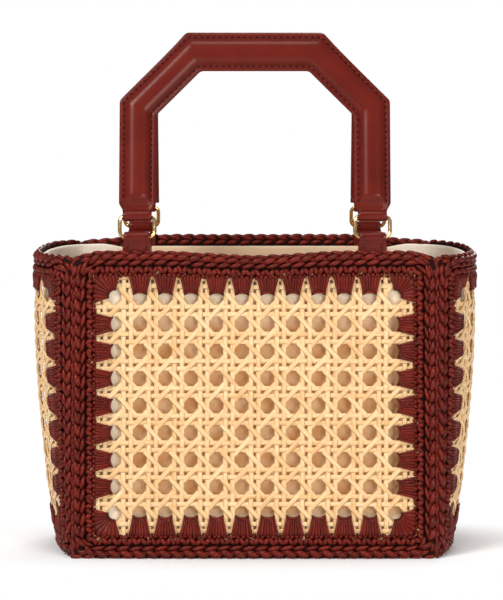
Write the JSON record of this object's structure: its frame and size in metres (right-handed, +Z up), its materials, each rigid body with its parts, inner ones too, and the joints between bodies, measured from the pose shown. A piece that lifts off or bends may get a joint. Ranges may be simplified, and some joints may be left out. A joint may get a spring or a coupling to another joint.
{
  "type": "tote bag",
  "caption": "Small structured tote bag of cane webbing edged with crochet, lined in cloth, with octagonal padded leather handles that swing on gold rings.",
  "frame": {"origin": "centre of the bag's underside, on the surface that it stands on", "axes": "+Z up through the handles, +X along the bag's length to the right, +Y to the back wall; the front wall faces -Y"},
  "size_m": [0.229, 0.0904, 0.2637],
  "materials": {
    "cane": "natural cane webbing, satin",
    "crochet": "thick oxblood cord, crocheted",
    "lining": "off-white plain cloth",
    "leather": "smooth oxblood leather, satin, edge stitched",
    "padding": "firm foam, hidden",
    "gold_wire": "polished gold plate"
  },
  "bodies": {
    "bag": {"back_border": "crochet", "back_cane": "cane", "back_left_tab": "leather", "back_right_tab": "leather", "base_panel": "crochet", "front_border": "crochet", "front_cane": "cane", "front_left_tab": "leather", "front_right_tab": "leather", "left_border": "crochet", "left_cane": "cane", "lining": "lining", "right_border": "crochet", "right_cane": "cane"},
    "front_rings": {"front_left_ring": "gold_wire", "front_right_ring": "gold_wire"},
    "front_handle": {"front_handle_cover": "leather", "front_handle_backing": "leather", "front_handle_core": "padding"},
    "back_rings": {"back_left_ring": "gold_wire", "back_right_ring": "gold_wire"},
    "back_handle": {"back_handle_cover": "leather", "back_handle_backing": "leather", "back_handle_core": "padding"}
  },
  "joints": [
    {"name": "front_ring_swing", "type": "hinge", "parent": "bag", "child": "front_rings", "pos_m": [0, -0.03412, 0.1618], "axis": [1, 0, 0], "range_deg": [0, 105]},
    {"name": "front_handle_swing", "type": "hinge", "parent": "front_rings", "child": "front_handle", "pos_m": [0, -0.03106, 0.17226], "axis": [1, 0, 0], "range_deg": [0, 85]},
    {"name": "back_ring_swing", "type": "hinge", "parent": "bag", "child": "back_rings", "pos_m": [0, 0.03412, 0.1618], "axis": [-1, 0, 0], "range_deg": [0, 105]},
    {"name": "back_handle_swing", "type": "hinge", "parent": "back_rings", "child": "back_handle", "pos_m": [0, 0.03106, 0.17226], "axis": [-1, 0, 0], "range_deg": [0, 85]}
  ]
}
